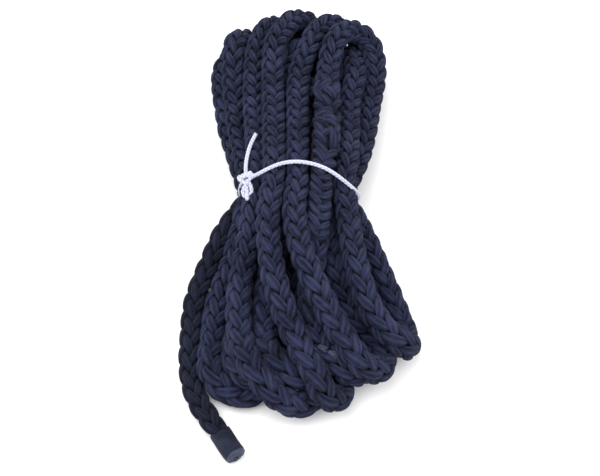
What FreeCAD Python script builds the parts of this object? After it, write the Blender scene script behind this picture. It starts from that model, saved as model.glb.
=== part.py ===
import FreeCAD, Part
import math
import os

import Sketcher

# A dock line: one plaited rope with a spliced eye and a whipped end, wound into a hank that
# lies flat and is held at the waist by a thin tie. Millimetres, +Z up, +Y towards the hank's
# crown, origin on the surface it lies on, under the middle of the whole.

DRIVING = {
    "rope_diameter": 14.0,
    "tail_diameter": 12.6,
    "splice_diameter": 15.6,
    "tie_diameter": 2.0,
    "sleeve_diameter": 11.6,
    "core_diameter": 10.2,
    "sleeve_length": 17.0,
    "core_length": 16.2,
    "sleeve_lip_radius": 0.5,
    "knot_half_width": 4.6,
    "knot_half_height": 6.6,
    "knot_half_depth": 2.6,
    "strand_end_diameter": 2.6,
    "strand_end_length": 6.0,
    "bed_half_width": 90.0,
    "bed_half_length": 150.0,
    "bed_depth": 20.0,
}

# Cross-sections of the hank from its crown to its foot: the height along Y, the middle in X
# and in Z, and the two half axes of an ellipse.
STATION_FIELDS = ("y", "x", "z", "half_width", "half_depth")
STATIONS = {
    "crown": (143.0, 3.0, 27.0, 13.0, 8.0),
    "brow": (136.0, 1.5, 25.5, 29.0, 16.5),
    "shoulder": (124.0, 0.5, 23.5, 43.0, 23.5),
    "upper": (106.0, 0.5, 23.0, 50.5, 29.0),
    "chest": (86.0, 0.0, 22.0, 51.5, 27.5),
    "ribs": (60.0, 0.0, 23.5, 47.5, 28.0),
    "belt": (36.0, 0.0, 27.0, 41.0, 28.5),
    "waist": (11.0, 0.0, 30.0, 34.3, 28.3),
    "hips": (-12.0, 1.0, 28.5, 41.5, 30.5),
    "skirt": (-38.0, 2.0, 28.0, 52.0, 31.0),
    "spread": (-62.0, 5.0, 26.0, 59.5, 30.5),
    "lobes": (-82.0, 4.0, 24.0, 57.5, 28.0),
    "hem": (-98.0, -2.5, 21.5, 49.0, 23.5),
    "foot": (-110.0, -6.0, 19.0, 32.0, 18.0),
    "toe": (-117.5, -6.0, 16.5, 13.0, 9.0),
}

# Centrelines. Each list is the route's corner points, from one end of the stretch to the other.
TAIL_TIP = (-33.0, -138.5, 6.5)
TAIL_ROUTE = [
    (-42.7, -124.5, 6.5),
    (-48.0, -117.0, 6.5),
    (-54.5, -107.5, 6.5),
    (-59.0, -96.5, 6.5),
    (-60.5, -82.5, 6.5),
    (-60.5, -66.5, 6.5),
    (-60.0, -52.5, 7.5),
    (-56.5, -37.5, 10.0),
    (-50.5, -24.5, 13.5),
    (-45.0, -10.0, 17.0),
    (-39.0, -1.0, 19.0),
    (-33.5, 7.5, 18.0),
]

SPLICE_ROUTE = [
    (16.5, 76.0, 42.0),
    (15.6, 58.0, 43.4),
    (14.2, 40.0, 45.6),
    (12.8, 22.0, 48.0),
    (11.6, 4.0, 48.6),
    (10.6, -13.0, 47.0),
    (10.0, -28.0, 44.6),
]

TIE_LOOP_ROUTE = [
    (-27.0, 8.4, 51.6),
    (-22.6, 8.4, 55.2),
    (-17.5, 10.0, 58.0),
    (-10.5, 12.6, 59.4),
    (-2.2, 13.9, 59.4),
    (6.5, 13.0, 58.7),
    (14.8, 10.6, 57.0),
    (22.4, 7.2, 52.8),
    (29.0, 4.4, 47.2),
    (32.2, 4.4, 41.2),
    (33.2, 7.5, 32.5),
    (32.4, 10.5, 22.5),
    (28.4, 11.5, 12.6),
    (20.4, 11.8, 5.2),
    (9.5, 12.0, 1.7),
    (-4.0, 12.2, 1.3),
    (-16.5, 12.8, 2.6),
    (-27.2, 14.0, 7.6),
    (-33.4, 15.0, 16.0),
    (-34.6, 15.0, 26.5),
    (-32.8, 14.2, 36.0),
    (-31.0, 11.2, 43.6),
]
TIE_LONG_END_ROUTE = [
    (-30.2, 13.5, 49.0),
    (-30.2, 21.0, 47.2),
    (-29.2, 28.0, 46.8),
    (-27.5, 35.0, 46.2),
    (-25.0, 41.5, 45.2),
]
TIE_SHORT_END_ROUTE = [
    (-29.4, 3.2, 49.6),
    (-29.1, -0.6, 49.0),
    (-29.0, -4.3, 48.2),
]
KNOT_CENTRE = (-29.6, 6.5, 48.8)

# The cut ends of the tucked strands that show near the splice's lower end: where along Y, how
# far round the splice from its top, in degrees, and the end's heading from the splice's axis.
STRAND_ENDS = [
    (-4.0, 10.0, 80.0),
    (-8.5, 4.0, 78.0),
    (-14.5, -6.0, 76.0),
    (2.0, 28.0, 84.0),
    (-20.0, 20.0, 72.0),
]

ARC_SHARE = 0.45


def make_sheet(doc):
    """The spreadsheet that holds every driving dimension under its own alias."""
    sheet = doc.addObject("Spreadsheet::Sheet", "Dimensions")
    rows = dict(DRIVING)
    for station, values in STATIONS.items():
        for field, value in zip(STATION_FIELDS, values):
            rows[f"{station}_{field}"] = value
    for row, (alias, value) in enumerate(rows.items(), start=1):
        sheet.set(f"A{row}", alias)
        sheet.set(f"B{row}", str(value))
        sheet.setAlias(f"B{row}", alias)
    doc.recompute()
    return sheet


def bind(thing, prop, formula):
    """Bind one property to a formula in the spreadsheet's aliases."""
    thing.setExpression(prop, formula)


def facing(direction):
    """The rotation that turns +Z to the given direction."""
    return FreeCAD.Rotation(FreeCAD.Vector(0, 0, 1), FreeCAD.Vector(*direction))


def rounded_edges(points):
    """Straight runs joined by tangent arcs, each as large as its two runs allow."""
    corners = [FreeCAD.Vector(*p) for p in points]
    edges = []
    radii = []
    start = corners[0]
    for before, corner, after in zip(corners, corners[1:], corners[2:]):
        back = before - corner
        ahead = after - corner
        cut = ARC_SHARE * min(back.Length, ahead.Length)
        turn = math.pi - back.getAngle(ahead)
        radius = cut / math.tan(turn / 2)
        back.normalize()
        ahead.normalize()
        arc_start = corner + back * cut
        arc_end = corner + ahead * cut
        inward = back + ahead
        inward.normalize()
        middle = corner + inward * (radius / math.cos(turn / 2) - radius)
        edges.append(Part.LineSegment(start, arc_start).toShape())
        edges.append(Part.Arc(arc_start, middle, arc_end).toShape())
        radii.append(radius)
        start = arc_end
    edges.append(Part.LineSegment(start, corners[-1]).toShape())
    return edges, radii


def make_tube(doc, label, points, diameter_alias):
    """A round tube swept along a route, its diameter bound to the sheet."""
    edges, radii = rounded_edges(points)
    spine = doc.addObject("Part::Feature", f"{label}_spine")
    spine.Shape = Part.Wire(edges)
    profile = doc.addObject("Part::Circle", f"{label}_profile")
    bind(profile, "Radius", f"Dimensions.{diameter_alias} / 2")
    heading = FreeCAD.Vector(*points[1]) - FreeCAD.Vector(*points[0])
    profile.Placement = FreeCAD.Placement(FreeCAD.Vector(*points[0]), facing(heading))
    tube = doc.addObject("Part::Sweep", label)
    tube.Sections = [profile]
    tube.Spine = (spine, [f"Edge{i + 1}" for i in range(len(edges))])
    tube.Solid = True
    tube.Frenet = False
    tube.Label = label
    doc.recompute()
    length = spine.Shape.Length
    section = math.pi * (DRIVING[diameter_alias] / 2) ** 2
    print(
        f"{label}: length {length:.1f}, volume over section x length "
        f"{tube.Shape.Volume / (section * length):.4f}, arc radii",
        " ".join(f"{r:.1f}" for r in radii),
    )
    return tube


def make_hank_envelope(doc):
    """The hank's outer shape: a loft through its cross-sections, flat where it lies."""
    sections = []
    for station in STATIONS:
        ring = doc.addObject("Part::Ellipse", f"{station}_ring")
        ring.Placement = FreeCAD.Placement(FreeCAD.Vector(), FreeCAD.Rotation(0, 0, 90))
        bind(ring, "MajorRadius", f"Dimensions.{station}_half_width")
        bind(ring, "MinorRadius", f"Dimensions.{station}_half_depth")
        bind(ring, ".Placement.Base.x", f"Dimensions.{station}_x")
        bind(ring, ".Placement.Base.y", f"Dimensions.{station}_y")
        bind(ring, ".Placement.Base.z", f"Dimensions.{station}_z")
        sections.append(ring)
    loft = doc.addObject("Part::Loft", "hank_loft")
    loft.Sections = sections
    loft.Solid = True
    loft.Ruled = False
    bed = doc.addObject("Part::Box", "bed_below")
    bind(bed, "Length", "Dimensions.bed_half_width * 2")
    bind(bed, "Width", "Dimensions.bed_half_length * 2")
    bind(bed, "Height", "Dimensions.bed_depth")
    bind(bed, ".Placement.Base.x", "-Dimensions.bed_half_width")
    bind(bed, ".Placement.Base.y", "-Dimensions.bed_half_length")
    bind(bed, ".Placement.Base.z", "-Dimensions.bed_depth")
    envelope = doc.addObject("Part::Cut", "hank_envelope")
    envelope.Base = loft
    envelope.Tool = bed
    doc.recompute()
    return envelope


def make_round_body(doc, label, radii, length_alias, placement, lip_alias=None):
    """A padded disc, or ring where radii names two diameters, with an optional rounded lip."""
    body = doc.addObject("PartDesign::Body", label)
    body.Label = label
    sketch = body.newObject("Sketcher::SketchObject", f"{label}_section")
    plane = next(f for f in body.Origin.OriginFeatures if f.Role == "XY_Plane")
    sketch.AttachmentSupport = [(plane, "")]
    sketch.MapMode = "FlatFace"
    for index, alias in enumerate(radii):
        circle = Part.Circle(FreeCAD.Vector(), FreeCAD.Vector(0, 0, 1), DRIVING[alias] / 2)
        sketch.addGeometry(circle, False)
        sketch.addConstraint(Sketcher.Constraint("Coincident", index, 3, -1, 1))
        size = sketch.addConstraint(Sketcher.Constraint("Diameter", index, DRIVING[alias]))
        sketch.setExpression(f"Constraints[{size}]", f"Dimensions.{alias}")
    pad = body.newObject("PartDesign::Pad", f"{label}_pad")
    pad.Profile = sketch
    bind(pad, "Length", f"Dimensions.{length_alias}")
    doc.recompute()
    if lip_alias:
        outer = DRIVING[radii[0]] / 2
        rims = [
            f"Edge{i + 1}"
            for i, edge in enumerate(pad.Shape.Edges)
            if isinstance(edge.Curve, Part.Circle) and abs(edge.Curve.Radius - outer) < 1e-6
        ]
        lip = body.newObject("PartDesign::Fillet", f"{label}_lip")
        lip.Base = (pad, rims)
        bind(lip, "Radius", f"Dimensions.{lip_alias}")
        body.Tip = lip
    body.Placement = placement
    doc.recompute()
    return body


def make_knot(doc):
    """The tie's knot, a rounded lump."""
    knot = doc.addObject("Part::Ellipsoid", "knot_lump")
    bind(knot, "Radius1", "Dimensions.knot_half_depth")
    bind(knot, "Radius2", "Dimensions.knot_half_width")
    bind(knot, "Radius3", "Dimensions.knot_half_height")
    knot.Placement = FreeCAD.Placement(FreeCAD.Vector(*KNOT_CENTRE), FreeCAD.Rotation())
    return knot


def splice_axis_at(y):
    """The splice's centreline point at a height along Y."""
    for low, high in zip(SPLICE_ROUTE[1:], SPLICE_ROUTE):
        if low[1] <= y <= high[1]:
            share = (y - low[1]) / (high[1] - low[1])
            return [a + share * (b - a) for a, b in zip(low, high)]
    raise ValueError("outside the splice")


def make_strand_ends(doc):
    """The cut ends of tucked strands, short rods that lie half sunk in the splice."""
    rods = []
    for index, (y, around, heading) in enumerate(STRAND_ENDS, start=1):
        x, y, z = splice_axis_at(y)
        out = math.radians(around)
        reach = DRIVING["splice_diameter"] / 2
        rod = doc.addObject("Part::Cylinder", f"strand_end_{index}")
        bind(rod, "Radius", "Dimensions.strand_end_diameter / 2")
        bind(rod, "Height", "Dimensions.strand_end_length")
        turned = math.radians(heading)
        across = FreeCAD.Vector(
            math.sin(turned) * math.cos(out), math.cos(turned), -math.sin(turned) * math.sin(out)
        )
        middle = FreeCAD.Vector(x + reach * math.sin(out), y, z + reach * math.cos(out))
        base = middle - across * (DRIVING["strand_end_length"] / 2)
        rod.Placement = FreeCAD.Placement(base, facing(across))
        rods.append(rod)
    group = doc.addObject("Part::Compound", "strand_end_group")
    group.Links = rods
    doc.recompute()
    return group


def cut_from(doc, label, base, tools):
    """base with every tool taken out of it, as one sub-part."""
    if len(tools) > 1:
        tool = doc.addObject("Part::MultiFuse", f"{label}_tools")
        tool.Shapes = tools
    else:
        tool = tools[0]
    result = doc.addObject("Part::Cut", label)
    result.Base = base
    result.Tool = tool
    result.Label = label
    doc.recompute()
    return result


def main():
    doc = FreeCAD.newDocument("dock_line")
    make_sheet(doc)

    tail = make_tube(doc, "rope_tail", TAIL_ROUTE, "tail_diameter")
    splice = make_tube(doc, "eye_splice", SPLICE_ROUTE, "splice_diameter")
    tie_loop_tube = make_tube(doc, "tie_loop_tube", TIE_LOOP_ROUTE, "tie_diameter")
    long_end_tube = make_tube(doc, "tie_long_tube", TIE_LONG_END_ROUTE, "tie_diameter")
    short_end_tube = make_tube(doc, "tie_short_tube", TIE_SHORT_END_ROUTE, "tie_diameter")

    knot_lump = make_knot(doc)
    strand_end_group = make_strand_ends(doc)
    doc.recompute()
    tie_loop = cut_from(doc, "tie_loop", tie_loop_tube, [knot_lump])
    tie_long_end = cut_from(doc, "tie_long_end", long_end_tube, [knot_lump])
    tie_short_end = cut_from(doc, "tie_short_end", short_end_tube, [knot_lump])
    strand_ends = cut_from(doc, "splice_strand_ends", strand_end_group, [splice])

    tail_start = FreeCAD.Vector(*TAIL_ROUTE[0])
    tail_heading = FreeCAD.Vector(*TAIL_TIP) - tail_start
    end_place = FreeCAD.Placement(tail_start, facing(tail_heading))
    sleeve = make_round_body(
        doc,
        "end_whipping",
        ["sleeve_diameter", "core_diameter"],
        "sleeve_length",
        end_place,
        "sleeve_lip_radius",
    )
    core = make_round_body(doc, "fused_rope_end", ["core_diameter"], "core_length", end_place)

    envelope = make_hank_envelope(doc)
    held_by_hank = [tail, splice, knot_lump, tie_loop_tube, long_end_tube, short_end_tube]
    hank = cut_from(doc, "rope_hank", envelope, held_by_hank + [strand_end_group])
    knot = doc.addObject("Part::Compound", "tie_knot")
    knot.Links = [knot_lump]
    knot.Label = "tie_knot"
    doc.recompute()

    for thing in doc.Objects:
        if "Invalid" in thing.State or "Error" in thing.State:
            raise RuntimeError(f"{thing.Name} failed: {thing.State}")
    subparts = [
        hank,
        tail,
        splice,
        strand_ends,
        sleeve,
        core,
        tie_loop,
        knot,
        tie_long_end,
        tie_short_end,
    ]
    os.makedirs("parts", exist_ok=True)
    for subpart in subparts:
        shape = subpart.Shape
        if shape.isNull() or not shape.isValid():
            raise RuntimeError(f"{subpart.Label} has no valid shape")
        box = shape.BoundBox
        print(
            f"{subpart.Label}: solids {len(shape.Solids)}, volume {shape.Volume:.0f}, "
            f"x {box.XMin:.1f} to {box.XMax:.1f}, y {box.YMin:.1f} to {box.YMax:.1f}, "
            f"z {box.ZMin:.1f} to {box.ZMax:.1f}"
        )
        shape.exportStep(f"parts/{subpart.Label}.step")


main()
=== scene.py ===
"""Coiled dock line: a plaited rope hank with an eye splice, a whipped end and a white tie."""

import math

import bpy
import numpy as np
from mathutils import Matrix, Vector


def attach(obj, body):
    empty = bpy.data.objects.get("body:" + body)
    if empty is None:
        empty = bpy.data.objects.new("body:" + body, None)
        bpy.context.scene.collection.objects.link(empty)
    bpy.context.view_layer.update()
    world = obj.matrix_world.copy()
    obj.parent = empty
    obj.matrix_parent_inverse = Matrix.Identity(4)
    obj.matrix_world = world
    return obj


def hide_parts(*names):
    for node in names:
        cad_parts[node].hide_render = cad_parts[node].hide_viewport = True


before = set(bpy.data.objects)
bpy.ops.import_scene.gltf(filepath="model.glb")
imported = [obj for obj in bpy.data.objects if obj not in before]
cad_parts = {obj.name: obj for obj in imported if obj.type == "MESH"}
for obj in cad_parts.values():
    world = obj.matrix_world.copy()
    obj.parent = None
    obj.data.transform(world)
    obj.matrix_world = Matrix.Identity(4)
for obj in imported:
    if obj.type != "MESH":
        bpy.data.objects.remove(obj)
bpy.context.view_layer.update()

MM = 0.001
SEED = 7

# ---------------------------------------------------------------- sizes, in millimetres
ROPE_D = 14.0
TAIL_SCALE = 0.88  # the tail's thickness beside the whipping, as a share of the rope's
LOOSE_SCALE = 1.09  # and that of the loose turns at the foot
TAIL_LAY = 63.0  # how far along the rope a strand goes once round
TAIL_LAY_END = 250.0  # along the rope, where the turns' own lay takes over
LAY_PLACES = [-100, -60, -10, 30, 75]  # along Y, on the turns
LAY_SIZES = [67, 64, 58, 54, 50]
STRANDS_EACH_WAY = 6
COLUMN_PAIRS = 3
STRAND_RING = 10
SEAM_FACES = np.array([0.28, -0.48, 0.83])  # which way a row of the plait's V shapes faces
BRAID_STEP = 1.3
SPLICE_D = 16.2
TIE_D = 2.2
TIE_BRAID_D = 0.96 * TIE_D
WHIPPING_D = 11.6
WHIPPING_LENGTH = 17.0
TWINE_PITCH = 0.85

# ---------------------------------------------------------------- the rope's route
# The tail, from the whipped tip to where it goes into the waist. part.py has the same points.
TAIL_ROUTE = [
    (-33, -138.5, 6.5),
    (-42.7, -124.5, 6.5),
    (-48, -117, 6.5),
    (-54.5, -107.5, 6.5),
    (-59, -96.5, 6.5),
    (-60.5, -82.5, 6.5),
    (-60.5, -66.5, 6.5),
    (-60, -52.5, 7.5),
    (-56.5, -37.5, 10),
    (-50.5, -24.5, 13.5),
    (-45, -10, 17),
    (-39, -1, 19),
    (-33.5, 7.5, 18),
]

# Where each leg of the hank crosses these levels along Y: sideways places, heights, and how
# firmly the leg keeps its place while the turns settle (1 for legs on top, less for hidden ones).
LEVELS = (85, 55, 15, -7, -35, -68, -95)
FRONT_LEGS = {
    "first": ((-45, -41, -29, None, None, None, None), (12, 13, 15, None, None, None, None), 1.0),
    "left": ((-38.5, -35.5, -27.5, -31.5, -43, -49.5, -47), (24, 25, 26, 22, 13, 8, 8), 1.0),
    "inner_a": ((-25, -24, -14, -16, -26, -34, -32), (19, 21, 33, 28, 19, 17, 17), 0.3),
    "second": ((-28, -25.5, -23, -24.5, -30.5, -34, -26), (32, 35, 38, 38, 36, 30, 22), 1.0),
    "inner_b": ((-11, -10, -2, -8, -17, -20, -15), (22, 26, 34, 34, 28, 24, 22), 0.6),
    "third": ((-16.5, -15.5, -17, -18, -17, -10, 4), (36, 42, 48, 51, 52, 48, 36), 1.0),
    "fourth": ((-2, -1, -2.5, -4.5, -0.5, 12.5, 31), (36, 42, 51, 54, 54, 49, 34), 1.0),
    "spliced": ((15.5, 15, 12, 11, 7.5, 5, 15), (37, 44, 51, 51, 44, 36, 26), 1.0),
    "eye_outer": ((41, 38, 29.5, 33.5, 45, 57.5, None), (26, 28, 30, 28, 22, 12, None), 1.0),
    "eye_inner": ((28.5, 29, 26.5, 26, 29, 37.5, None), (27, 34, 41, 44, 45, 40, None), 1.0),
}
BACK_LEGS = [
    ((-6, -4, 0, -4, -13, -17, -13), (8, 8, 9, 8, 8, 8, 8), 0.2),
    ((-20, -18, -13, -10, -4, -6, -3), (8, 8, 9, 9, 8, 8, 9), 0.2),
    ((3, 1, -7, -1, 7, 8, 14), (21, 21, 21, 20, 8, 8, 8), 0.2),
    ((8, 10, 13, 9, 4, 5, 12), (8, 8, 9, 9, 19, 19, 20), 0.2),
    ((21, 18, 7, 14, 18, 24, 28), (8, 8, 21, 19, 9, 8, 8), 0.2),
    ((18, 17, 13, 13, 17, 30, 39), (21, 22, 33, 32, 29, 22, 15), 0.3),
    ((33, 31, 22, 21, 28, 39, None), (9, 10, 20, 16, 9, 8, None), 0.2),
]
# Points of the folds: x, y, z, and how firmly they hold.
CROWNS = {
    "first": [(-49.5, 112, 13, 1), (-43, 126, 10, 1), (-28, 130, 8, 0.5), (-13, 120, 8, 0.3)],
    "left": [(-34, 118, 26, 1), (-27, 129, 22, 1), (-18, 125, 13, 0.6), (-18, 110, 9, 0.3)],
    "inner_a": [(-20, 110, 19, 0.3), (-9, 116, 20, 0.3), (1, 106, 21, 0.3)],
    "second": [(-25, 123, 33, 1), (-16, 135, 27, 1), (-3, 137, 16, 1), (7, 126, 10, 0.6)],
    "inner_b": [(-6, 114, 22, 0.3), (5, 121, 18, 0.3), (17, 112, 11, 0.3)],
    "third": [(-8, 127, 36, 1), (1.5, 138, 30, 1), (13, 138, 22, 0.6), (20, 125, 18, 0.3)],
    "fourth": [(6, 119, 38, 1), (17, 129, 31, 1), (28, 128, 21, 0.6), (34, 117, 14, 0.3)],
}
FEET = {
    "left": [(-20, -101, 8, 0.8), (-30, -104, 8, 1), (-40, -101, 8, 1)],
    "inner_a": [(-9, -100, 14, 0.3), (-22, -102, 20, 0.3)],
    "second": [(10, -108, 9, 0.8), (2, -113.5, 11, 1), (-10, -112, 16, 1)],
    "inner_b": [(4, -104, 22, 0.3), (-7, -104, 24, 0.3)],
    "third": [(26, -106, 12, 0.8), (19, -112, 17, 1), (10.5, -110, 25, 1)],
    "fourth": [(41.5, -92, 16, 1), (40, -98, 23, 1), (35.5, -98, 31, 1)],
    "spliced": [(38, -82, 8, 0.5), (34, -92, 9, 0.6), (25, -97, 15, 0.8)],
}
TURN_ORDER = ["first", "left", "inner_a", "second", "inner_b", "third", "fourth", "spliced"]
EYE_TOP = [
    (19, 107, 41, 1),
    (25.5, 119.5, 38, 1),
    (33.5, 125, 35, 1),
    (40, 124, 32, 1),
    (43.5, 117, 29, 1),
    (43.5, 103, 27, 1),
]
EYE_TIP = [(59, -71.5, 10, 1), (59.5, -77.5, 13, 1), (56, -82, 22, 1), (49.5, -79.5, 30, 1)]
EYE_RETURN = [
    (29, 103, 25, 0.8),
    (29.5, 119, 18.5, 0.6),
    (20.5, 122, 12.5, 0.4),
    (9, 114, 14, 0.4),
    (9, 94, 23, 0.4),
    (13, 78, 31, 0.6),
]

# The splice's centreline on the spliced leg, and the tie's routes. part.py has the same points.
SPLICE_ROUTE = [
    (16.5, 76, 42),
    (15.6, 58, 43.4),
    (14.2, 40, 45.6),
    (12.8, 22, 48),
    (11.6, 4, 48.6),
    (10.6, -13, 47),
    (10, -28, 44.6),
]
TIE_LONG_END_ROUTE = [
    (-25, 41.5, 45.2),
    (-27.5, 35, 46.2),
    (-29.2, 28, 46.8),
    (-30.2, 21, 47.2),
    (-30.2, 13.5, 49),
]
TIE_LOOP_ROUTE = [
    (-27, 8.4, 51.6),
    (-22.6, 8.4, 55.2),
    (-17.5, 10, 58),
    (-10.5, 12.6, 59.4),
    (-2.2, 13.9, 59.4),
    (6.5, 13, 58.7),
    (14.8, 10.6, 57),
    (22.4, 7.2, 52.8),
    (29, 4.4, 47.2),
    (32.2, 4.4, 41.2),
    (33.2, 7.5, 32.5),
    (32.4, 10.5, 22.5),
    (28.4, 11.5, 12.6),
    (20.4, 11.8, 5.2),
    (9.5, 12, 1.7),
    (-4, 12.2, 1.3),
    (-16.5, 12.8, 2.6),
    (-27.2, 14, 7.6),
    (-33.4, 15, 16),
    (-34.6, 15, 26.5),
    (-32.8, 14.2, 36),
    (-31, 11.2, 43.6),
]
TIE_SHORT_END_ROUTE = [
    (-29.4, 3.2, 49.6),
    (-29.1, -0.6, 49),
    (-29, -4.3, 48.2),
]
KNOT_CENTRE = (-29.6, 6.5, 48.8)


def leg_points(row, upwards):
    xs, zs, firm = row
    points = [(x, y, z, firm) for x, y, z in zip(xs, LEVELS, zs) if x is not None]
    return points[::-1] if upwards else points


def hank_controls():
    """The whole route, tail first, as rows of x, y, z and firmness."""
    points = [(x, y, z, 1.0) for x, y, z in TAIL_ROUTE[1:]]
    for name, following, back in zip(TURN_ORDER, TURN_ORDER[1:], BACK_LEGS):
        points += leg_points(FRONT_LEGS[name], True)
        points += CROWNS[name]
        points += leg_points(back, False)
        points += FEET[following]
    points += leg_points(FRONT_LEGS["spliced"], True)
    points += EYE_TOP
    points += leg_points(FRONT_LEGS["eye_outer"], False)
    points += EYE_TIP
    points += leg_points(FRONT_LEGS["eye_inner"], True)
    points += EYE_RETURN
    return np.array(points, float)


def smooth_through(rows, steps=12):
    """A centripetal Catmull-Rom line through the rows."""
    ends = np.vstack([2 * rows[0] - rows[1], rows, 2 * rows[-1] - rows[-2]])
    line = []
    for i in range(1, len(ends) - 2):
        p = ends[i - 1 : i + 3]
        knots = [0.0]
        for a, b in zip(p, p[1:]):
            knots.append(knots[-1] + math.sqrt(np.linalg.norm((b - a)[:3])))
        k0, k1, k2, k3 = knots
        for t in np.linspace(k1, k2, steps, endpoint=False):
            a1 = (k1 - t) / (k1 - k0) * p[0] + (t - k0) / (k1 - k0) * p[1]
            a2 = (k2 - t) / (k2 - k1) * p[1] + (t - k1) / (k2 - k1) * p[2]
            a3 = (k3 - t) / (k3 - k2) * p[2] + (t - k2) / (k3 - k2) * p[3]
            b1 = (k2 - t) / (k2 - k0) * a1 + (t - k0) / (k2 - k0) * a2
            b2 = (k3 - t) / (k3 - k1) * a2 + (t - k1) / (k3 - k1) * a3
            line.append((k2 - t) / (k2 - k1) * b1 + (t - k1) / (k2 - k1) * b2)
    line.append(ends[-2])
    return np.array(line)


def distances(line):
    steps = np.linalg.norm(np.diff(line[:, :3], axis=0), axis=1)
    return np.concatenate([[0.0], np.cumsum(steps)])


def evenly(line, step):
    """The line again with points about a step apart."""
    along = distances(line)
    wanted = np.linspace(0, along[-1], int(round(along[-1] / step)) + 1)
    return np.stack([np.interp(wanted, along, line[:, k]) for k in range(line.shape[1])], axis=1)


# ---------------------------------------------------------------- settling the turns
NODE_STEP = ROPE_D / 2
CONTACT = 0.97 * ROPE_D
SKIP_NEIGHBOURS = 6
NEAR_PAIRS = 1.5 * ROPE_D  # pairs nearer than this are watched
EASY_RADIUS = 1.2 * ROPE_D
TIGHT_PLACES = [((57, -80, 26), 0.95 * ROPE_D), ((24, 108, 18), 0.9 * ROPE_D)]
TIGHT_REACH = 26.0
WAIST_CENTRE = np.array([-0.8, 11.0, 31.0])
WAIST_HALF = (33, 29)
WAIST_REACH = 9.0
WAIST_POWER = 2.6
WAIST_PULL = 0.35
SETTLE_STEPS = 400
HOLD = 0.05  # how strongly a leg is drawn to its wanted place in a step
LATE_HOLD = 0.02  # and in the last quarter of the steps
UPRIGHT_HOLD = 0.35  # the share of it that acts along Z
SINK = 0.02  # how far everything sinks in a step
STIFFNESS = 0.12  # how strongly a node is drawn to the middle of its neighbours
SPRING = 0.25  # the share of a wrong distance that a step puts right, at each end
PUSH = 1.3  # how much of their mean push the nodes follow
# How many nodes are rounded off where the turns meet the tail, and how often.
JOIN_NODES = 8
JOIN_PASSES = 30


def pinch_waist(nodes):
    """Pulls what stands outside the tie's outline towards the middle of the hank."""
    near = np.abs(nodes[:, 1] - WAIST_CENTRE[1]) < WAIST_REACH
    part = nodes[near]
    across = (part[:, 0] - WAIST_CENTRE[0]) / (WAIST_HALF[0] - ROPE_D / 2)
    high = (part[:, 2] - WAIST_CENTRE[2]) / (WAIST_HALF[1] - ROPE_D / 2)
    out = (np.abs(across) ** WAIST_POWER + np.abs(high) ** WAIST_POWER) ** (1 / WAIST_POWER)
    pull = 1 - WAIST_PULL * (1 - np.where(out > 1, 1 / np.maximum(out, 1e-6), 1.0))
    part[:, 0] = WAIST_CENTRE[0] + (part[:, 0] - WAIST_CENTRE[0]) * pull
    part[:, 2] = WAIST_CENTRE[2] + (part[:, 2] - WAIST_CENTRE[2]) * pull
    nodes[near] = part


def settle(rows, pinned):
    """Lets the turns find their places: no two closer than a diameter, no fold too tight,
    nothing under the floor, and each leg as near to its wanted place as its firmness says."""
    wanted = rows[:, :3]
    firm = np.clip(rows[:, 3], 0.1, 1.0)[:, None]
    gives = 1.0 / (0.35 + firm)
    nodes = wanted.copy()
    count = len(nodes)
    rest = np.linalg.norm(np.diff(wanted, axis=0), axis=1)
    least = np.full(count, EASY_RADIUS)
    for place, radius in TIGHT_PLACES:
        least[np.linalg.norm(wanted - np.array(place), axis=1) < TIGHT_REACH] = radius
    spans = []
    for hop in (2, 4, 6):
        radius = np.minimum(least[hop:], least[:-hop])
        spans.append((hop, 2 * radius * np.sin(np.minimum(hop * NODE_STEP / (2 * radius), 1.5))))
    first, second = np.triu_indices(count, k=SKIP_NEIGHBOURS)
    for step in range(SETTLE_STEPS):
        if step % 8 == 0:
            gap = nodes[second] - nodes[first]
            near = (gap**2).sum(1) < NEAR_PAIRS**2
            one, two = first[near], second[near]
        hold = HOLD if step < 0.75 * SETTLE_STEPS else LATE_HOLD
        away = wanted - nodes
        away[:, 2] *= UPRIGHT_HOLD
        nodes += hold * away * (0.15 + 1.6 * firm)
        nodes[:, 2] -= SINK
        nodes[1:-1] += STIFFNESS * ((nodes[:-2] + nodes[2:]) / 2 - nodes[1:-1])
        pinch_waist(nodes)
        for _ in range(3):
            for hop, chord in spans:
                gap = nodes[hop:] - nodes[:-hop]
                size = np.linalg.norm(gap, axis=1)
                short = np.where(size < chord)[0]
                wider = SPRING * (chord[short] - size[short]) / size[short]
                move = wider[:, None] * gap[short]
                np.add.at(nodes, short, -move)
                np.add.at(nodes, short + hop, move)
            gap = nodes[two] - nodes[one]
            size = np.sqrt((gap**2).sum(1)) + 1e-9
            close = size < CONTACT
            a, b = one[close], two[close]
            move = ((CONTACT - size[close]) / size[close])[:, None] * gap[close]
            share = gives[a] / (gives[a] + gives[b])
            shift = np.zeros_like(nodes)
            hits = np.zeros(count)
            np.add.at(shift, a, -move * share)
            np.add.at(shift, b, move * (1 - share))
            np.add.at(hits, a, 1)
            np.add.at(hits, b, 1)
            nodes += PUSH * shift / np.maximum(hits, 1)[:, None]
            gap = np.diff(nodes, axis=0)
            size = np.linalg.norm(gap, axis=1)
            move = (SPRING * (size - rest) / size)[:, None] * gap
            nodes[:-1] += move
            nodes[1:] -= move
            nodes[:, 2] = np.maximum(nodes[:, 2], ROPE_D / 2)
            nodes[:pinned] = wanted[:pinned]
    return nodes


def ease_join(rows, kept):
    """Rounds off the place where the settled turns meet the tail's kept points."""
    rows = rows.copy()
    join = rows[kept : kept + JOIN_NODES]
    for _ in range(JOIN_PASSES):
        middle = (rows[:-2] + rows[2:]) / 2
        join += 0.5 * (middle[kept - 1 : kept - 1 + JOIN_NODES] - join)
        pinch_waist(join)
    return rows


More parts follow.
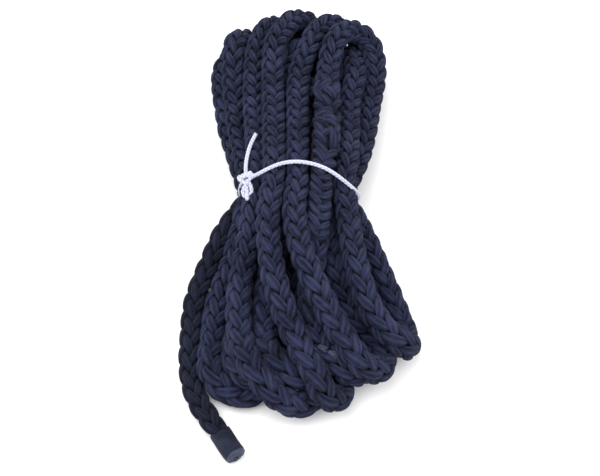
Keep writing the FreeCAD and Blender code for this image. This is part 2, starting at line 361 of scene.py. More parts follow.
def nurbs_line(name, points, resolution):
    """Points along the smooth spline that has these control points, in millimetres."""
    curve = bpy.data.curves.new(name, "CURVE")
    curve.dimensions = "3D"
    spline = curve.splines.new("NURBS")
    spline.points.add(len(points) - 1)
    for spot, point in zip(spline.points, points):
        spot.co = (*(float(c) * MM for c in point), 1.0)
    spline.order_u = 3
    spline.use_endpoint_u = True
    spline.resolution_u = resolution
    holder = bpy.data.objects.new(name, curve)
    mesh = bpy.data.meshes.new_from_object(holder)
    line = np.empty(len(mesh.vertices) * 3)
    mesh.vertices.foreach_get("co", line)
    bpy.data.meshes.remove(mesh)
    bpy.data.objects.remove(holder)
    bpy.data.curves.remove(curve)
    return line.reshape(-1, 3) / MM


# ---------------------------------------------------------------- tubes along lines
def unit(v):
    return v / np.maximum(np.linalg.norm(v, axis=-1, keepdims=True), 1e-9)


def carried_frames(line):
    """Tangents and two square directions that turn as little as they can along the line."""
    tangent = unit(np.gradient(line, axis=0))
    normal = np.zeros_like(line)
    start = np.array([0.0, 0.0, 1.0])
    normal[0] = unit(start - tangent[0] * start.dot(tangent[0]))
    for i in range(len(line) - 1):
        v1 = line[i + 1] - line[i]
        c1 = v1.dot(v1)
        r = normal[i] - 2 / c1 * v1.dot(normal[i]) * v1
        t = tangent[i] - 2 / c1 * v1.dot(tangent[i]) * v1
        v2 = tangent[i + 1] - t
        c2 = v2.dot(v2)
        normal[i + 1] = r if c2 < 1e-12 else r - 2 / c2 * v2.dot(r) * v2
    normal = unit(normal - tangent * (normal * tangent).sum(1, keepdims=True))
    return tangent, normal, np.cross(tangent, normal)


class MeshParts:
    """Collects tubes and makes one mesh of them."""

    def __init__(self):
        self.points = []
        self.faces = []
        self.marks = []
        self.count = 0

    def tube(self, centres, side, out, half_width, half_height, ring, mark):
        """One tube with closed ends. The mark is two rows for the material: the distance along
        and how much light reaches each ring."""
        n = len(centres)
        turn = np.arange(ring) * 2 * math.pi / ring
        half_width = np.broadcast_to(half_width, (n,))
        half_height = np.broadcast_to(half_height, (n,))
        rim = (
            centres[:, None, :]
            + side[:, None, :] * (np.cos(turn)[None, :] * half_width[:, None])[:, :, None]
            + out[:, None, :] * (np.sin(turn)[None, :] * half_height[:, None])[:, :, None]
        )
        index = self.count + np.arange(n * ring).reshape(n, ring)
        a = index[:-1]
        b = index[1:]
        quads = np.stack([a, np.roll(a, -1, 1), np.roll(b, -1, 1), b], axis=-1).reshape(-1, 4)
        self.points.append(rim.reshape(-1, 3))
        self.faces.append(quads)
        along, lit = mark
        marks = np.zeros((n, ring, 3))
        marks[..., 0] = along[:, None]
        marks[..., 1] = turn / (2 * math.pi)
        marks[..., 2] = lit[:, None]
        self.marks.append(marks.reshape(-1, 3))
        self.count += n * ring
        self.cap(index[0][::-1], centres[0], marks[0, 0])
        self.cap(index[-1], centres[-1], marks[-1, 0])

    def cap(self, rim, centre, mark):
        middle = self.count
        self.points.append(np.array([centre]))
        self.marks.append(np.array([mark]))
        self.count += 1
        ring = list(rim)
        fan = [(ring[i], ring[(i + 1) % len(ring)], middle, middle) for i in range(len(ring))]
        self.faces.append(np.array(fan))

    def build(self, name, material):
        points = np.concatenate(self.points) * MM
        faces = np.concatenate(self.faces)
        marks = np.concatenate(self.marks)
        three = faces[:, 2] == faces[:, 3]
        sizes = np.where(three, 3, 4)
        loops = faces[np.arange(4)[None, :] < sizes[:, None]]
        mesh = bpy.data.meshes.new(name)
        mesh.vertices.add(len(points))
        mesh.vertices.foreach_set("co", points.astype(np.float32).ravel())
        mesh.loops.add(len(loops))
        mesh.loops.foreach_set("vertex_index", loops.astype(np.int32))
        mesh.polygons.add(len(faces))
        starts = np.concatenate([[0], np.cumsum(sizes)[:-1]])
        mesh.polygons.foreach_set("loop_start", starts.astype(np.int32))
        mesh.update(calc_edges=True)
        mesh.validate()
        mesh.shade_smooth()
        layer = mesh.attributes.new("yarn", "FLOAT_VECTOR", "POINT")
        layer.data.foreach_set("vector", marks.astype(np.float32).ravel())
        mesh.materials.append(material)
        piece = bpy.data.objects.new(name, mesh)
        bpy.context.scene.collection.objects.link(piece)
        return piece


# ---------------------------------------------------------------- materials
def colour(red, green, blue):
    """An sRGB colour, 0 to 255, as linear values."""
    values = []
    for c in (red, green, blue):
        c /= 255
        values.append(c / 12.92 if c <= 0.04045 else ((c + 0.055) / 1.055) ** 2.4)
    return (*values, 1.0)


class Nodes:
    """Small helper for building a node tree."""

    def __init__(self, name):
        self.material = bpy.data.materials.new(name)
        self.material.use_nodes = True
        self.tree = self.material.node_tree
        self.shader = self.tree.nodes["Principled BSDF"]

    def add(self, kind, settings=None, **inputs):
        node = self.tree.nodes.new(kind)
        for key, value in (settings or {}).items():
            setattr(node, key, value)
        for key, value in inputs.items():
            self.put(node, key.replace("_", " "), value)
        return node

    def maths(self, operation, *values):
        node = self.add("ShaderNodeMath", {"operation": operation})
        for number, value in enumerate(values):
            self.put(node, f"#{number}", value)
        return node.outputs[0]

    def put(self, node, key, value):
        """Links or sets an input, by its name or by its number after a #."""
        socket = node.inputs[int(key[1:])] if key[0] == "#" else node.inputs[key]
        if isinstance(value, bpy.types.NodeSocket):
            self.tree.links.new(value, socket)
        else:
            socket.default_value = value


FILAMENT_STRETCH = 0.035  # a smaller number draws the fibres out longer
PATCHES_PER_METRE = 60.0
YARN_LEAN = 0.045  # yarns crossed for each mm along a strand
YARN_HEIGHT = 0.1
PATCH_SHARE = 0.4  # of the tone; the rest comes from fibres and yarns


def yarn_material(name, light, dark, painted_shade, roughness, sheen, filament, bump, yarns):
    """Matt fibre: yarns and fine filaments along each strand, with soft patches of tone, mixed
    towards a painted shade colour where the mesh's light mark is low.
    """
    n = Nodes(name)
    mark = n.add("ShaderNodeAttribute", {"attribute_name": "yarn"})
    parts = n.add("ShaderNodeSeparateXYZ", Vector=mark.outputs["Vector"])
    along, around, lit = parts.outputs
    angle = n.maths("MULTIPLY", around, 2 * math.pi)
    spot = n.add(
        "ShaderNodeCombineXYZ",
        X=n.maths("SINE", angle),
        Y=n.maths("COSINE", angle),
        Z=n.maths("MULTIPLY", along, FILAMENT_STRETCH),
    )
    fibres = n.add("ShaderNodeTexNoise", Scale=filament, Detail=5.0, Roughness=0.65)
    n.put(fibres, "Vector", spot.outputs[0])
    place = n.add("ShaderNodeTexCoord")
    patches = n.add("ShaderNodeTexNoise", Scale=PATCHES_PER_METRE, Detail=2.0, Roughness=0.5)
    n.put(patches, "Vector", place.outputs["Object"])
    lean = n.maths("MULTIPLY", along, YARN_LEAN)
    turned = n.maths("MULTIPLY_ADD", around, float(yarns), lean)
    ridges = n.maths("SINE", n.maths("MULTIPLY", turned, 2 * math.pi))
    height = n.maths("MULTIPLY_ADD", ridges, YARN_HEIGHT if yarns else 0.0, fibres.outputs["Fac"])
    patch_part = n.maths("MULTIPLY", patches.outputs["Fac"], PATCH_SHARE)
    tone = n.maths("MULTIPLY_ADD", height, 1 - PATCH_SHARE, patch_part)
    ramp = n.add("ShaderNodeValToRGB", Fac=tone)
    for element, position, shade in zip(ramp.color_ramp.elements, (0.4, 0.6), (dark, light)):
        element.position = position
        element.color = shade
    # Painted shade: the colour is mixed towards the shade colour as the light mark falls.
    painted_shade_mix = n.add("ShaderNodeMix", {"data_type": "RGBA", "blend_type": "MIX"})
    n.put(painted_shade_mix, "#0", lit)
    n.put(painted_shade_mix, "#6", painted_shade)
    n.put(painted_shade_mix, "#7", ramp.outputs["Color"])
    n.put(n.shader, "Base Color", painted_shade_mix.outputs[2])
    lift = n.add("ShaderNodeBump", Strength=0.8, Distance=bump, Height=height)
    n.put(n.shader, "Normal", lift.outputs["Normal"])
    n.put(n.shader, "Roughness", roughness)
    n.put(n.shader, "Sheen Weight", sheen)
    n.put(n.shader, "Sheen Roughness", 0.5)
    n.put(n.shader, "Specular IOR Level", 0.1)
    return n.material


# In each material below, the last colour, mixed in where little light reaches, is painted shade.
navy = yarn_material(
    "navy_yarn",
    light=colour(49, 55, 85),
    dark=colour(12, 17, 40),
    painted_shade=colour(2, 4, 14),
    roughness=0.9,
    sheen=0.03,
    filament=9.0,
    bump=0.0026,
    yarns=5,
)
white = yarn_material(
    "white_cord",
    light=colour(198, 201, 220),
    dark=colour(186, 189, 207),
    painted_shade=colour(140, 143, 162),
    roughness=0.7,
    sheen=0.1,
    filament=4.0,
    bump=0.0001,
    yarns=0,
)
navy_cut = yarn_material(
    "navy_cut_yarn",
    light=colour(82, 86, 106),
    dark=colour(42, 46, 66),
    painted_shade=colour(10, 12, 24),
    roughness=0.95,
    sheen=0.1,
    filament=7.0,
    bump=0.0002,
    yarns=0,
)
whipping = yarn_material(
    "whipping_twine",
    light=colour(54, 59, 78),
    dark=colour(28, 31, 45),
    painted_shade=colour(14, 17, 28),
    roughness=0.7,
    sheen=0.0,
    filament=5.0,
    bump=0.0003,
    yarns=0,
)
fused = yarn_material(
    "fused_fibre",
    light=colour(70, 76, 97),
    dark=colour(50, 55, 74),
    painted_shade=colour(26, 29, 44),
    roughness=0.5,
    sheen=0.0,
    filament=4.0,
    bump=0.0004,
    yarns=0,
)

# ---------------------------------------------------------------- the rope
controls = hank_controls()
tail_line = evenly(smooth_through(controls[: len(TAIL_ROUTE) - 1]), NODE_STEP)
hank_rows = evenly(smooth_through(controls), NODE_STEP)
hank_nodes = settle(hank_rows, pinned=len(tail_line) - 2)
rope_controls = np.vstack([np.array(TAIL_ROUTE, float), hank_nodes[len(tail_line) :]])
rope_controls = ease_join(rope_controls, len(TAIL_ROUTE))
rope_line = nurbs_line("rope_route", rope_controls, 6)
braid_line = evenly(rope_line, BRAID_STEP)
braid_along = distances(braid_line)


def seam_turn(tangent, normal, binormal):
    """How far the plait is turned about the rope's line so that the point of its V shapes
    faces up, away from the floor, on every leg that lies on top."""
    up = np.unwrap(np.arctan2(binormal @ SEAM_FACES, normal @ SEAM_FACES))
    use = (np.abs(tangent[:, 2]) < 0.45) & (np.abs(tangent[:, 1]) > 0.6)
    period = 2 * math.pi / COLUMN_PAIRS
    places = []
    turns = []
    value = 0.0
    for i in np.where(use)[0]:
        aim = up[i] - (0.0 if tangent[i, 1] > 0 else period / 2)
        aim += period * round((value - aim) / period)
        value += 0.2 * (aim - value) if places and i - places[-1] < 3 else aim - value
        places.append(i)
        turns.append(value)
    turn = np.interp(np.arange(len(up)), places, turns)
    width = 25
    kernel = np.hanning(2 * width + 1)
    kernel /= kernel.sum()
    padded = np.concatenate([np.full(width, turn[0]), turn, np.full(width, turn[-1])])
    return np.convolve(padded, kernel, mode="valid")


def wander(rng, along, wave, size):
    """A slow seeded wave, for small differences along a strand."""
    total = np.zeros_like(along)
    for part in (1.0, 0.53, 0.31):
        total += part * np.sin(along / (wave * part) * 2 * math.pi + rng.uniform(0, 2 * math.pi))
    return size * total / 1.84


# A strand's place and size, as shares of the rope's thickness.
STRAND_RIDE = 0.286  # from the rope's line to the strand's
STRAND_WEAVE = 0.102  # how far it goes over and under
LOWEST_STRAND = 0.112  # above the floor
LEAF_HALF_WIDTH = 0.118
LEAF_SWELL = 0.066
LEAF_HALF_HEIGHT = 0.102
LEAF_RISE = 0.02
CORE_RADIUS = 0.2
# How squarely a strand goes over and under, and how far its leaves swing, in radians. Below 0
# they lie straighter along the rope than the strand does.
FLATNESS = 1.6
SWING = -0.045


def plait(parts, line, turn, thick, lay, each_way, pairs, ring, rough, rng, lit=1.0):
    """Strands that spiral both ways round a line and pass over and under each other. Each shows
    as leaves, widest in their middle, that lie a little straighter along the rope than it does."""
    along = distances(line)
    tangent, normal, binormal = carried_frames(line)
    spiral = np.cumsum(2 * math.pi * np.gradient(along) / lay)
    narrow = (lay / np.mean(lay)) ** 0.8
    lay = float(np.mean(lay))
    for k in range(2 * each_way):
        hand = 1 if k < each_way else -1
        phase = 2 * math.pi / each_way * (k % each_way + (0 if hand > 0 else 0.5))
        theta = hand * spiral + phase + wander(rng, along, 1.4 * lay, 0.05) * rough
        wave = hand * np.sin(pairs * theta)
        over = np.tanh(FLATNESS * wave) / math.tanh(FLATNESS)
        uneven = wander(rng, along, 0.57 * lay, 0.01) * rough
        radius = thick * (STRAND_RIDE + STRAND_WEAVE * over + uneven)
        angle = theta - hand * SWING * np.cos(pairs * theta) + turn
        out = np.cos(angle)[:, None] * normal + np.sin(angle)[:, None] * binormal
        centres = line + out * radius[:, None]
        centres[:, 2] = np.maximum(centres[:, 2], LOWEST_STRAND * thick)
        run = unit(np.gradient(centres, axis=0))
        side = unit(np.cross(run, out))
        face = np.cross(side, run)
        share = 6 / each_way
        plump = thick * (1 + wander(rng, along, 0.45 * lay, 0.05) * rough)
        swell = LEAF_SWELL * np.clip(wave, -0.4, 1)
        half_width = share * (LEAF_HALF_WIDTH + swell) * plump * narrow
        half_height = share * (LEAF_HALF_HEIGHT + LEAF_RISE * over) * plump
        # Painted shade: a strand's colour darkens where it passes under the others, and lit darkens
        # it further.
        lift = np.clip(0.4 + 0.85 * over, 0, 1) * lit
        parts.tube(centres, side, face, half_width, half_height, ring, (along + 13 * k, lift))
    # The core's light mark is nought, so it is coloured all in painted shade.
    core = slice(None, None, 4)
    flat = np.zeros(len(along[core]))
    size = CORE_RADIUS * thick[core]
    parts.tube(line[core], normal[core], binormal[core], size, size, 10, (flat, flat))


def nearest(line, point):
    return int(np.argmin(np.linalg.norm(line - np.array(point, float), axis=1)))


def tie_crossing(x):
    """Where along Y the tie lies across the top of the hank."""
    return np.interp(x, [-30, -17, -2, 15, 22, 29], [7, 10, 14, 10.6, 7.2, 4.4])


TIE_SQUEEZE = 0.08  # the share of its thickness that the rope loses under the tie
TIE_REACH = 4.5  # how far along Y that is felt


def rope_thickness(line, along):
    """How thick the rope is, how far the tucks cover it and how much of it lies in shade. The
    limp tail is a little thinner than the bulky turns, and the splice is thicker."""
    whipped = WHIPPING_LENGTH
    places = [0, 3.2, 6, whipped - 1, whipped + 9, 190, 260]
    sizes = [0.06, 0.06, 0.7, 0.74, TAIL_SCALE, 0.94, 1.0]
    scale = np.interp(along, places, sizes)
    start = along[nearest(line, SPLICE_ROUTE[-1])]
    end = along[nearest(line, SPLICE_ROUTE[0])]
    places = [start - 16, start, start + 45, start + 62, end, end + 16]
    bulk = np.interp(along, places, [0, 0.5, 0.6, 1, 1, 0])
    loose = np.interp(line[:, 1], [-75, -30], [LOOSE_SCALE - 1, 0]) * (along > 300)
    full = ROPE_D * (scale + loose + (SPLICE_D / ROPE_D - 1) * bulk)
    squeezed = np.exp(-(((line[:, 1] - tie_crossing(line[:, 0])) / TIE_REACH) ** 2))
    full *= 1 - TIE_SQUEEZE * squeezed * (along > 260)
    covered = np.interp(along, [start + 4, start + 10, end - 10, end - 4], [0, 1, 1, 0])
    # Painted shade on the tail, fading out along it.
    shaded = np.interp(along, [150, 230], [0.55, 0])
    return full, covered, shaded


def plait_thickness(full, covered, shaded):
    """Under the tucks the plait itself is squeezed and darkened with painted shade. The tail is
    darkened with painted shade too.
    """
    return full * (1 - 0.12 * covered), (1 - 0.75 * covered) * (1 - shaded)


def make_rope(line, thick, lit):
    parts = MeshParts()
    rng = np.random.default_rng(SEED)
    turn = seam_turn(*carried_frames(line))
    count = STRANDS_EACH_WAY
    lay = np.interp(line[:, 1], LAY_PLACES, LAY_SIZES)
    lay = np.where(distances(line) < TAIL_LAY_END, TAIL_LAY, lay)
    plait(parts, line, turn, thick, lay, count, COLUMN_PAIRS, STRAND_RING, 1.0, rng, lit)
    return parts.build("dock_rope", navy)


rope_thick, rope_covered, rope_shaded = rope_thickness(braid_line, braid_along)
plait_thick, plait_lit = plait_thickness(rope_thick, rope_covered, rope_shaded)
rope = make_rope(braid_line, plait_thick, plait_lit)
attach(rope, "root")
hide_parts("rope_hank", "rope_tail")


# ---------------------------------------------------------------- the eye splice's tucks
def on_rope(index, around, height):
    """A point on the rope: around is in degrees from its top towards +X."""
    ahead = unit(braid_line[index + 1] - braid_line[index - 1])
    lifted = SEAM_FACES * np.array([0, 1, 1])
    top = unit(lifted - ahead * ahead.dot(lifted))
    right = np.cross(ahead, top) if ahead[1] > 0 else np.cross(top, ahead)
    turned = math.radians(around)
    out = top * math.cos(turned) + right * math.sin(turned)
    return braid_line[index] + out * height, out


TUCK_RING = 12
TUCK_HALF_HEIGHT = 1.8
FLAT_TUCK_HALF_HEIGHT = 1.2
FLAT_TUCK_HALF_WIDTH = 2.7  # wider tucks than this are flatter


def tuck(parts, rows, half_width, number):
    """One flattened strand over the rope, its ends sunk, along rows of index, angle, height."""
    places = [on_rope(*row) for row in rows]
    fine = np.linspace(0, len(rows) - 1, 8 * len(rows))
    whole = np.arange(len(rows))
    centres = np.stack([np.interp(fine, whole, [p[0][k] for p in places]) for k in range(3)], 1)
    outs = unit(np.stack([np.interp(fine, whole, [p[1][k] for p in places]) for k in range(3)], 1))
    for _ in range(6):
        centres[1:-1] = 0.5 * centres[1:-1] + 0.25 * (centres[:-2] + centres[2:])
    run = unit(np.gradient(centres, axis=0))
    side = unit(np.cross(run, outs))
    face = np.cross(side, run)
    bulge = np.sin(np.linspace(0.16, math.pi - 0.16, len(fine))) ** 0.5
    along = distances(centres) + 17 * number
    # Painted shade: a tuck's colour darkens towards its sunk ends.
    mark = (along, np.clip(0.1 + 0.9 * bulge, 0, 1))
    half_height = FLAT_TUCK_HALF_HEIGHT if half_width > FLAT_TUCK_HALF_WIDTH else TUCK_HALF_HEIGHT
    parts.tube(centres, side, face, half_width * bulge, half_height * bulge, TUCK_RING, mark)


# The tucked strands that show on the thick part: from x, y to x, y and half their width.
TUCKED_LEAVES = [
    (18.5, 77.5, 9.5, 69, 2.4),
    (7.5, 73.5, 12.5, 61, 2.5),
    (13.5, 73, 21, 63.5, 2.6),
    (24, 75, 17.5, 66, 2.2),
    (24.5, 67.5, 19, 55.5, 2.3),
    (11.5, 65.5, 18, 56.5, 2.6),
    (7, 62.5, 13, 54, 2.2),
    (24.5, 57.5, 21, 47, 1.9),
    (5.5, 51.5, 20, 54, 2.9),
    (10, 47.5, 23.5, 50, 2.9),
    (5.5, 48.5, 15, 45, 2.2),
    (7, 46, 13, 34.5, 2.3),
    (13.5, 45.5, 21.5, 44, 1.7),
    (22.5, 48, 20.5, 39, 2.3),
    (17, 39, 11, 32.5, 2.1),
    (6.5, 39.5, 14.5, 27, 2.1),
    (17.5, 42, 19, 25, 2.5),
    (24, 42.5, 21, 34, 1.9),
    (24, 34.5, 21.5, 25.5, 1.9),
    (6.5, 31.5, 16, 19, 2.2),
    (22, 27.5, 13, 17, 2.4),
    (6, 25, 14.5, 16, 2.2),
    (6, 18.5, 14, 7.5, 2.2),
    (22, 20, 12.5, 12.5, 2.4),
]
# Shares of a leaf's length, and how deep it is sunk there.
LEAF_SUNK = ((0, 2.3), (0.18, 0.9), (0.5, 0.5), (0.82, 0.8), (1, 2.3))
# The ladder's left and right arcs, as x and y from the rope's middle, half their widths, and
# how deep both are sunk at each of those places.
LADDER_LEFT = [(-7.6, 6.8), (-6.2, 4.0), (-3.6, 0.6), (-0.8, -2.4), (1.0, -4.4)]
LADDER_RIGHT = [(-3.2, -3.0), (-0.8, -3.7), (2.2, -3.1), (5.2, -0.7), (7.4, 2.6)]
LADDER_HALF_WIDTHS = (1.85, 1.95)
LADDER_SUNK = (2.4, 1.3, 0.8, 1.0, 2.4)
LADDER_TOP = 9.5
LADDER_FOOT = -27
LADDER_STEP = 5.6


def splice_place(x, y, sunk):
    """The row for a place on the splice that is seen from above at x, y."""
    index = splice_low + int(np.argmin(np.abs(braid_line[splice_low:splice_high, 1] - y)))
    reach = rope_thick[index] / 2
    across = min(max((x - braid_line[index, 0]) / reach, -0.97), 0.97)
    under_tie = (y - float(tie_crossing(x))) / 4
    pressed = 0.8 * math.exp(-under_tie * under_tie)
    return index, math.degrees(math.asin(across)), reach - sunk - pressed


def make_tucks():
    """Tucked strands: leaves at odd angles above the tie, and a ladder of arcs below it."""
    parts = MeshParts()
    rng = np.random.default_rng(SEED + 1)
    number = 0
    for x0, y0, x1, y1, half_width in TUCKED_LEAVES:
        rows = []
        for share, sunk in LEAF_SUNK:
            x = x0 + share * (x1 - x0)
            y = y0 + share * (y1 - y0)
            rows.append(splice_place(x, y, sunk + rng.uniform(-0.15, 0.15)))
        tuck(parts, rows, half_width, number)
        number += 1
    for y in np.arange(LADDER_TOP, LADDER_FOOT, -LADDER_STEP):
        middle = float(np.interp(y, [-28, 76], [10, 16.5]))
        for places, half_width in zip((LADDER_LEFT, LADDER_RIGHT), LADDER_HALF_WIDTHS):
            wide = half_width + rng.uniform(-0.2, 0.2)
            shift = rng.uniform(-0.7, 0.7)
            rows = []
            for (x, dy), sunk in zip(places, LADDER_SUNK):
                rows.append(splice_place(middle + x, y + dy + shift, sunk))
            tuck(parts, rows, wide, number)
            number += 1
    return parts.build("eye_splice_tucks", navy)


splice_ends = [nearest(braid_line, SPLICE_ROUTE[k]) for k in (0, -1)]
splice_low = min(splice_ends) - 6
splice_high = max(splice_ends) + 6
tucks = make_tucks()
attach(tucks, "root")
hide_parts("eye_splice")


FRAY_RINGS = 7
FILAMENTS = 34
FILAMENT_HALF = 0.16
STITCH_HALF = 0.2
STITCH_LIT = 0.1


def fray(parts, base, heading, width, length, rng, number):
    """A cut strand's end: a short stub and a brush of filaments."""
    heading = unit(heading)
    helper = np.array([0.0, 0.0, 1.0]) if abs(heading[2]) < 0.8 else np.array([1.0, 0.0, 0.0])
    side = unit(np.cross(heading, helper))
    face = np.cross(side, heading)
    share = np.linspace(0, 1, FRAY_RINGS)[:, None]
    centres = base + heading * length * 0.75 * share
    size = width * (1 - 0.12 * share[:, 0])
    # Painted shade: the stub's light mark of 0.75 makes it a little darker than its filaments.
    flat = np.full(FRAY_RINGS, 0.75)
    wide = np.repeat(side[None], FRAY_RINGS, 0)
    tall = np.repeat(face[None], FRAY_RINGS, 0)
    parts.tube(centres, wide, tall, size, size * 0.8, 12, (distances(centres) + 9 * number, flat))
    for _ in range(FILAMENTS):
        turned = rng.uniform(0, 2 * math.pi)
        far = width * math.sqrt(rng.uniform(0, 1)) * 0.9
        start = base + side * far * math.cos(turned) + face * far * 0.8 * math.sin(turned)
        lean = heading + 0.22 * (side * rng.uniform(-1, 1) + face * rng.uniform(-1, 1))
        tips = start + unit(lean) * length * (0.4 + 0.6 * share) * rng.uniform(0.85, 1.1)
        mark = (distances(tips), np.full(FRAY_RINGS, 1.0))
        parts.tube(tips, wide, tall, FILAMENT_HALF, FILAMENT_HALF, 5, mark)


def fine_loop(parts, points, size, lit):
    """A thin yarn pulled up out of the plait."""
    line = smooth_through(np.array(points, float), 8)
    run, side, face = carried_frames(line)
    wide = np.full(len(line), size)
    parts.tube(line, side, face, wide, wide, 6, (distances(line), np.full(len(line), lit)))


def stitches(parts, x0, x1, y, rng):
    """A row of short yarn ends standing across a groove between two tucks."""
    for x in np.linspace(x0, x1, 6):
        x += rng.uniform(-0.15, 0.15)
        low, _ = on_rope(*splice_place(x, y - 0.9, 1.0))
        top, _ = on_rope(*splice_place(x + rng.uniform(-0.2, 0.2), y, -0.25))
        far, _ = on_rope(*splice_place(x, y + 1.0, 0.9))
        fine_loop(parts, [low, top, far], STITCH_HALF, STITCH_LIT)


def make_strand_ends():
    parts = MeshParts()
    rng = np.random.default_rng(SEED + 2)
    stitches(parts, 9.4, 14.6, -9.0, rng)
    stitches(parts, 7.6, 12.8, -14.6, rng)
    for number, (place, around) in enumerate(((-88, -10), (-95, 14))):
        index = nearest(braid_line, (9 - 0.2 * (place + 88), place, 33))
        base, out = on_rope(index, around, ROPE_D / 2 - 0.9)
        fray(parts, base, np.array([0.9, -0.5, 0.0]) + 0.2 * out, 1.5, 5.0, rng, 5 + number)
    return parts.build("cut_strand_ends", navy_cut)


strand_ends = make_strand_ends()
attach(strand_ends, "root")
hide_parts("splice_strand_ends")


# ---------------------------------------------------------------- the whipped end
def tail_frame():
    """The tail's tip, the way out of it, and two directions square to that."""
    tip = np.array(TAIL_ROUTE[0], float)
    inner = np.array(TAIL_ROUTE[1], float)
    out = unit(tip - inner)
    side = unit(np.cross(out, np.array([0.0, 0.0, 1.0])))
    return tip, out, side, np.cross(side, out)


def turned_piece(name, rings, segments, material, wobble, flat_marks=False):
    """A round piece about the tail's end. Rings are rows of distance back from the tip, radius
    and light, which wobble makes uneven."""
    tip, out, side, face = tail_frame()
    turn = np.arange(segments) * 2 * math.pi / segments
    rows = np.array(rings, float)
    back = rows[:, 0][:, None] + np.zeros(segments)
    radius = rows[:, 1][:, None] + np.zeros(segments)
    # The third ring value is the light mark: below 1 it paints shade into the colour.
    painted_light = rows[:, 2][:, None] + np.zeros(segments)
    back, radius, painted_light = wobble(back, radius, painted_light, turn[None, :])
    points = (
        tip
        - out * back[..., None]
        + side * (radius * np.cos(turn))[..., None]
        + face * (radius * np.sin(turn))[..., None]
    )
    parts = MeshParts()
    index = np.arange(len(rows) * segments).reshape(len(rows), segments)
    first = index[:-1]
    after = index[1:]
    quads = np.stack([first, after, np.roll(after, -1, 1), np.roll(first, -1, 1)], -1)
    parts.points.append(points.reshape(-1, 3))
    parts.faces.append(quads.reshape(-1, 4))
    if flat_marks:
        marks = [radius * np.cos(turn), radius * np.sin(turn) / 20, painted_light]
    else:
        around = 0.5 * WHIPPING_D * np.abs((turn + math.pi / 2) % (2 * math.pi) - math.pi)
        marks = [np.broadcast_to(around, back.shape), back / 6, painted_light]
    parts.marks.append(np.stack(marks, -1).reshape(-1, 3))
    parts.count = len(rows) * segments
    return parts.build(name, material)


def twine_ridges(back, radius, painted_light, turn):
    """Fine ridges that climb round the sleeve, tight turns of twine, with painted shade in their
    grooves and in broad bands round the sleeve.
    """
    wave = np.cos(2 * math.pi * (back / TWINE_PITCH + turn / (2 * math.pi)))
    body = np.clip((radius - WHIPPING_D / 2 + 0.45) / 0.35, 0, 1)
    uneven = 0.12 * np.sin(3 * turn + back / 3) + 0.07 * np.sin(7 * turn - back / 2.3)
    top = np.clip((back - 0.6 * WHIPPING_LENGTH) / (0.4 * WHIPPING_LENGTH), 0, 1)
    ragged = top * (0.9 * np.sin(2 * turn + 1) + 0.5 * np.sin(5 * turn))
    # Painted shade: darker in the twine's grooves and in two broad bands round the sleeve.
    shade = 0.72 + 0.2 * wave + 0.12 * np.sin(2 * turn + back / 1.8)
    return back + ragged, radius + body * (0.11 * wave + uneven), painted_light * shade


def make_whipping():
    radius = WHIPPING_D / 2
    # The third values paint shade: darker at the lip by the fused end and where the sleeve meets the
    # rope.
    rings = [(3.4, radius - 1.1, 0.3), (2.5, radius - 0.7, 0.5), (2.35, radius - 0.3, 0.8)]
    for back in np.arange(2.6, WHIPPING_LENGTH - 0.5, TWINE_PITCH / 7):
        rings.append((back, radius, 1.0))
    rings += [(WHIPPING_LENGTH - 0.3, radius - 0.4, 0.7), (WHIPPING_LENGTH, radius - 1.6, 0.1)]
    return turned_piece("end_whipping_sleeve", rings, 96, whipping, twine_ridges)


def fused_lumps(back, radius, painted_light, turn):
    """The uneven, rounded face of fibre melted and pressed, with a dent off its middle that painted
    shade darkens.
    """
    dent_x = radius * np.cos(turn) - 1.3
    dent_y = radius * np.sin(turn) - 0.6
    dent = np.exp(-(dent_x**2 / 4 + dent_y**2 / 7))
    lumps = 0.14 * np.sin(5 * turn + 1.4 * radius) + 0.1 * np.sin(9 * turn - 2.1 * radius)
    # The light mark is lowered in the dent: painted shade.
    return back + 0.9 * dent + lumps * np.clip(radius / 3, 0, 1), radius, painted_light * (1 - 0.3 * dent)


def make_fused_end():
    """The melted end stands a little proud of the sleeve, as a shallow dome."""
    rings = []
    for share in np.linspace(0.001, 1, 24):
        radius = (WHIPPING_D / 2 - 0.05) * math.sin(share * math.pi / 2) ** 0.9
        # Painted shade, deepest in the middle of the face and on the rings inside the sleeve, leaves
        # a pale rim.
        rings.append((2.3 * (1 - math.cos(share * math.pi / 2)) ** 1.3, radius, 0.55 + 0.45 * share))
    rings += [(2.75, WHIPPING_D / 2 - 0.35, 0.5), (6.0, WHIPPING_D / 2 - 1.3, 0.3)]
    return turned_piece("fused_end_face", rings, 64, fused, fused_lumps, flat_marks=True)


sleeve = make_whipping()
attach(sleeve, "root")
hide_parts("end_whipping")
end_face = make_fused_end()
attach(end_face, "root")
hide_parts("fused_rope_end")


# ---------------------------------------------------------------- the tie
def tie_controls():
    """The whole tie as one cord: long end, knot, round the waist, knot, short end."""
    return TIE_LONG_END_ROUTE + [KNOT_CENTRE] + TIE_LOOP_ROUTE + [KNOT_CENTRE] + TIE_SHORT_END_ROUTE


def braided_cord(name, lines, step, seed):
    """The tie's braid of eight fine strands along each of the lines."""
    parts = MeshParts()
    rng = np.random.default_rng(seed)
    for line in lines:
        fine = evenly(line, step)
        count = len(fine)
        thick = np.full(count, TIE_BRAID_D)
        plait(parts, fine, np.zeros(count), thick, 4.2 * TIE_BRAID_D, 4, 2, 6, 0.6, rng)
    return parts.build(name, white)


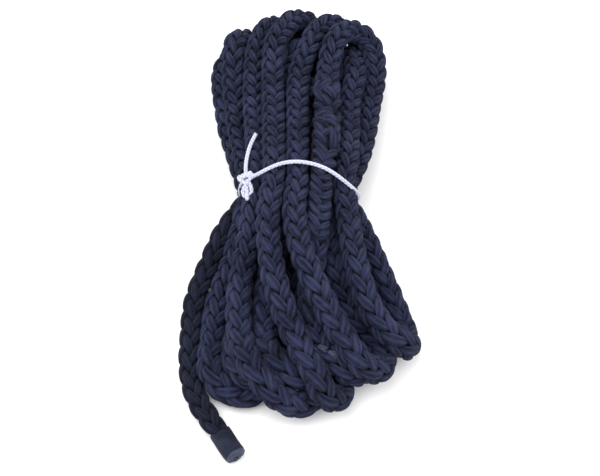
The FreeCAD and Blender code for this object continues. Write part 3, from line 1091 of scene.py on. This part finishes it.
# Points along the knot's bow and along its short inner strand.
KNOT_BOW = [
    (4.6, 4.4, 0.4),
    (3.4, 2.2, 1.8),
    (1.6, 0.0, 2.6),
    (-0.4, -2.2, 2.8),
    (-1.8, -4.4, 2.7),
    (-1.8, -6.6, 2.5),
    (0.0, -8.2, 2.3),
    (2.2, -7.4, 2.6),
    (3.2, -4.8, 2.8),
    (2.6, -1.6, 2.2),
    (0.9, 1.4, 1.0),
]
KNOT_INNER = [(-3.8, 3.8, 0.8), (-2.6, 1.8, 1.8), (-0.8, 0.4, 2.2), (1.2, -1.0, 1.4)]


def knot_lines():
    """The knot's visible parts about its centre: a flat wrap above, a small bow below it."""
    centre = np.array(KNOT_CENTRE, float)
    out = unit(np.array([-0.3, -0.45, 0.84]))
    right = unit(np.cross(np.array([0.0, 1.0, 0.0]), out))
    up = np.cross(out, right)

    def at(u, v, w):
        return centre + right * u + up * v + out * w

    wraps = []
    for step in range(25):
        turned = 2 * math.pi * step / 12
        drop = 4.4 - 0.07 * step + 0.5 * math.cos(turned)
        wraps.append(at(3.7 * math.cos(turned), drop, 0.4 + 1.5 * math.sin(turned)))
    lines = [np.array(wraps)]
    for points in (KNOT_BOW, KNOT_INNER):
        lines.append(np.array([at(*p) for p in points]))
    return [smooth_through(line, 8) for line in lines]


tie_line = nurbs_line("tie_route", tie_controls(), 8)
tie = braided_cord("tie_cord", [tie_line], 0.45, SEED + 3)
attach(tie, "root")
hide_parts("tie_loop", "tie_long_end", "tie_short_end")
knot = braided_cord("tie_knot_turns", knot_lines(), 0.4, SEED + 4)
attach(knot, "root")
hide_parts("tie_knot")


# ---------------------------------------------------------------- floor, lights, camera
def floor_material():
    n = Nodes("pale_floor")
    grain = n.add("ShaderNodeTexNoise", Scale=300.0, Detail=2.0)
    place = n.add("ShaderNodeTexCoord")
    n.put(grain, "Vector", place.outputs["Object"])
    ramp = n.add("ShaderNodeValToRGB")
    ramp.color_ramp.elements[0].color = (0.86, 0.86, 0.87, 1)
    ramp.color_ramp.elements[1].color = (0.9, 0.9, 0.9, 1)
    n.put(ramp, "Fac", grain.outputs["Fac"])
    n.put(n.shader, "Base Color", ramp.outputs["Color"])
    n.put(n.shader, "Roughness", 0.9)
    return n.material


def make_floor():
    half = 2.5
    mesh = bpy.data.meshes.new("floor")
    corners = [(-half, -half, 0), (half, -half, 0), (half, half, 0), (-half, half, 0)]
    mesh.from_pydata(corners, [], [(0, 1, 2, 3)])
    mesh.materials.append(floor_material())
    floor = bpy.data.objects.new("floor", mesh)
    bpy.context.scene.collection.objects.link(floor)


def area_light(name, place, target, size, power):
    data = bpy.data.lights.new(name, "AREA")
    data.shape = "DISK"
    data.size = size
    data.energy = power
    lamp = bpy.data.objects.new(name, data)
    lamp.location = place
    aim_at(lamp, target)
    bpy.context.scene.collection.objects.link(lamp)


def aim_at(thing, target):
    way = Vector(target) - Vector(thing.location)
    thing.rotation_euler = way.to_track_quat("-Z", "Y").to_euler()


def make_world():
    world = bpy.data.worlds.new("studio")
    world.use_nodes = True
    back = world.node_tree.nodes["Background"]
    back.inputs["Color"].default_value = (1, 1, 1, 1)
    back.inputs["Strength"].default_value = 1.0
    bpy.context.scene.world = world
    bpy.context.scene.view_settings.view_transform = "Standard"


CAMERA_ELEVATION = math.radians(60)
CAMERA_DISTANCE = 0.8  # metres
CAMERA_TARGET = (0.0, -0.015, 0.025)
SEEN_WIDTH = 0.336


def make_camera():
    data = bpy.data.cameras.new("camera")
    data.sensor_width = 36
    data.lens = data.sensor_width * CAMERA_DISTANCE / SEEN_WIDTH
    data.clip_start = 0.01
    camera = bpy.data.objects.new("camera", data)
    x, y, z = CAMERA_TARGET
    back = CAMERA_DISTANCE * math.cos(CAMERA_ELEVATION)
    rise = CAMERA_DISTANCE * math.sin(CAMERA_ELEVATION)
    camera.location = (x, y - back, z + rise)
    aim_at(camera, CAMERA_TARGET)
    bpy.context.scene.collection.objects.link(camera)
    bpy.context.scene.camera = camera


make_floor()
make_world()
area_light("key", (-0.4, -0.1, 1.3), (0, 0, 0), 1.2, 17)
area_light("fill", (0.7, -0.4, 1.2), (0, 0, 0), 1.2, 9)
make_camera()
